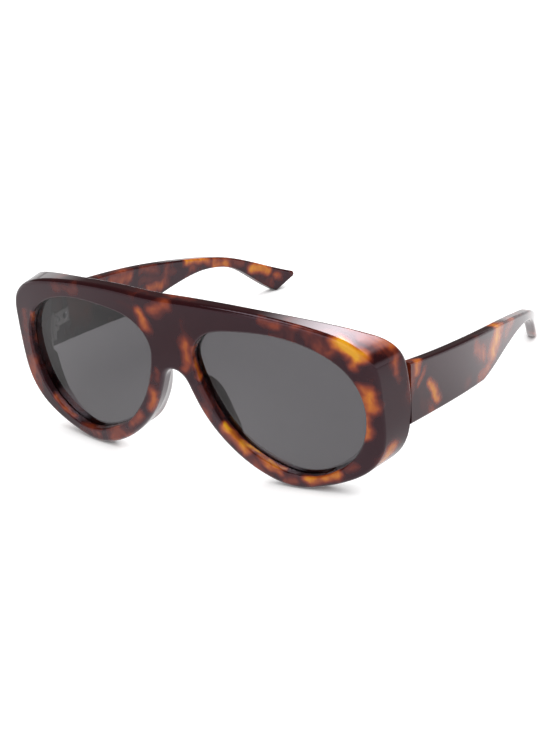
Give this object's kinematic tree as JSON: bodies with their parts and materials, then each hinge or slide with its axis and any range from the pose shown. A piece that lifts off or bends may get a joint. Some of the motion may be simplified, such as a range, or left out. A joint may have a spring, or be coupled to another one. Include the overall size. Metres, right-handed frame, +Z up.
{
  "type": "sunglasses",
  "caption": "Oversized flat-brow tortoiseshell sunglasses with teardrop smoke lenses and wide hinged temples that fold behind the front.",
  "frame": {"origin": "on the resting surface, midway between the temples and midway from the foremost point of the brow to the temple tips", "axes": "+X towards the wearer's left, -Y is the way the wearer faces (front face looks along -Y), +Z up, with the glasses open and standing on the rims and temple tips"},
  "size_m": [0.1488, 0.167, 0.0638],
  "materials": {
    "tortoise_acetate": "polished dark brown tortoiseshell acetate with amber and red-brown mottling",
    "smoke_lens": "polished neutral grey tinted plastic lens",
    "hinge_metal": "satin nickel-silver hinge leaf",
    "screw_steel": "turned stainless steel, slotted head",
    "core_wire": "drawn nickel-silver strip sealed inside the acetate"
  },
  "bodies": {
    "front": {"front_frame": "tortoise_acetate", "lens_left": "smoke_lens", "nose_pad_left": "tortoise_acetate", "front_hinge_leaf_left": "hinge_metal", "front_leaf_screws_left": "screw_steel", "hinge_screw_left": "screw_steel", "lens_right": "smoke_lens", "nose_pad_right": "tortoise_acetate", "front_hinge_leaf_right": "hinge_metal", "front_leaf_screws_right": "screw_steel", "hinge_screw_right": "screw_steel"},
    "temple_left_arm": {"temple_left": "tortoise_acetate", "temple_core_left": "core_wire", "temple_hinge_leaf_left": "hinge_metal", "temple_leaf_screws_left": "screw_steel"},
    "temple_right_arm": {"temple_right": "tortoise_acetate", "temple_core_right": "core_wire", "temple_hinge_leaf_right": "hinge_metal", "temple_leaf_screws_right": "screw_steel"}
  },
  "joints": [
    {"name": "temple_left_hinge", "type": "hinge", "parent": "front", "child": "temple_left_arm", "pos_m": [0.06709, -0.05559, 0.0321], "axis": [0, 0, 1], "range_deg": [0, 83]},
    {"name": "temple_right_hinge", "type": "hinge", "parent": "front", "child": "temple_right_arm", "pos_m": [-0.06709, -0.05559, 0.0321], "axis": [0, 0, -1], "range_deg": [0, 68]}
  ]
}
